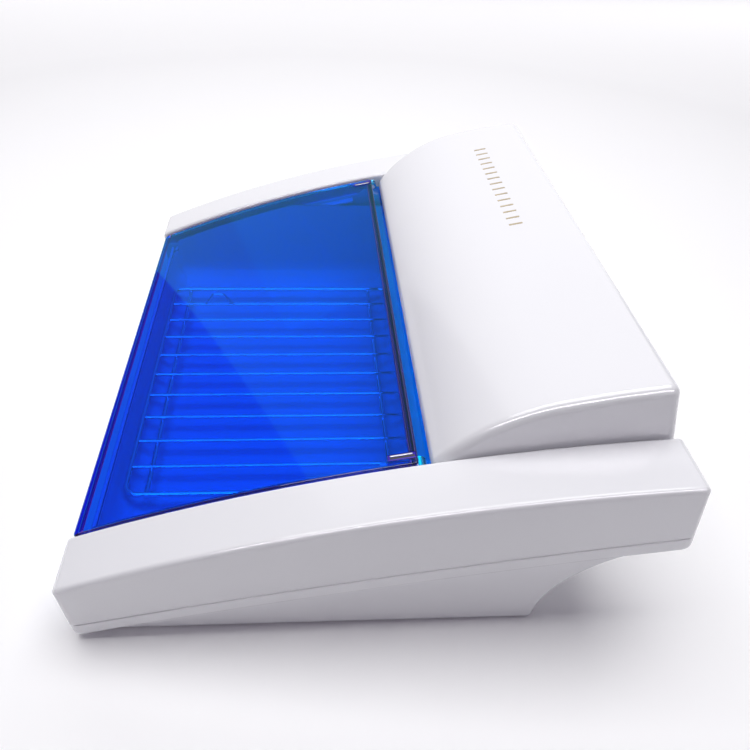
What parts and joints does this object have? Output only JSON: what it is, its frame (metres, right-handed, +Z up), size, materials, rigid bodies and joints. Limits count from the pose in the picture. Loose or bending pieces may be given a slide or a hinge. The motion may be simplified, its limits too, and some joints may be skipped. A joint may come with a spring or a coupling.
{
  "type": "ultraviolet sterilizer cabinet",
  "caption": "Low table-top ultraviolet sterilizer cabinet with arched side rails, a hinged translucent lid, a rear lamp hood and a lift-out wire basket.",
  "frame": {"origin": "on the table, under the middle of the cabinet's width and depth", "axes": "+X to the cabinet's right, +Y to the rear, +Z up"},
  "size_m": [0.4, 0.3296, 0.1575],
  "materials": {
    "white_abs": "glossy",
    "liner_white": "satin",
    "panel_grey": "satin",
    "lid_blue": "glossy, translucent",
    "pin_steel": "satin",
    "basket_wire": "polished",
    "lamp_glass": "clear",
    "lamp_cap": "satin",
    "contact_brass": "satin",
    "holder_white": "satin",
    "reflector_sheet": "polished",
    "ballast_steel": "satin",
    "coil_cover": "satin",
    "starter_shell": "satin",
    "terminal_ivory": "satin",
    "lead_insulation": "satin",
    "switch_black": "satin",
    "plunger_red": "glossy",
    "gland_black": "matte",
    "foot_rubber": "matte",
    "screw_steel": "satin",
    "foil_gold": "brushed foil"
  },
  "bodies": {
    "cabinet": {"base_tub": "white_abs", "right_side_rail": "white_abs", "left_side_rail": "white_abs", "hood": "white_abs", "rear_panel": "panel_grey", "chamber_liner": "liner_white", "right_lamp_holder": "holder_white", "left_lamp_holder": "holder_white", "lamp_reflector": "reflector_sheet", "ballast": "ballast_steel", "ballast_coil_cover": "coil_cover", "starter": "starter_shell", "starter_socket": "holder_white", "terminal_block": "terminal_ivory", "wiring": "lead_insulation", "door_switch_body": "switch_black", "power_switch_bezel": "switch_black", "cord_gland": "gland_black", "rubber_feet": "foot_rubber", "base_screws": "screw_steel", "rail_screws": "screw_steel", "panel_screws": "screw_steel", "ballast_screws": "screw_steel", "holder_screws": "screw_steel", "foil_marks": "foil_gold"},
    "lid": {"lid": "lid_blue", "right_hinge_pin": "pin_steel", "left_hinge_pin": "pin_steel"},
    "basket": {"basket_frame": "basket_wire", "basket_wires": "basket_wire", "basket_handle": "basket_wire"},
    "lamp": {"lamp_tube": "lamp_glass", "lamp_caps": "lamp_cap", "lamp_pins": "contact_brass"},
    "door_plunger": {"door_switch_plunger": "plunger_red"},
    "rocker": {"power_switch_rocker": "switch_black"}
  },
  "joints": [
    {"name": "lid_hinge", "type": "hinge", "parent": "cabinet", "child": "lid", "pos_m": [0, 0.026, 0.1015], "axis": [-1, 0, 0], "range_deg": [0, 105]},
    {"name": "basket_lift", "type": "slide", "parent": "cabinet", "child": "basket", "axis": [0, 0, 1], "range_m": [0, 0.012]},
    {"name": "lamp_twist", "type": "hinge", "parent": "cabinet", "child": "lamp", "pos_m": [0, 0.063, 0.104], "axis": [1, 0, 0], "range_deg": [0, 90]},
    {"name": "door_plunger_travel", "type": "slide", "parent": "cabinet", "child": "door_plunger", "axis": [-1, 0, 0], "range_m": [0, 0.0025]},
    {"name": "power_rocker_tip", "type": "hinge", "parent": "cabinet", "child": "rocker", "pos_m": [0.112, 0.154, 0.092], "axis": [1, 0, 0], "range_deg": [-16, 0]}
  ],
  "couplings": [
    {"joint": "door_plunger_travel", "follows": "lid_hinge", "m_per_rad": 0.00136}
  ]
}
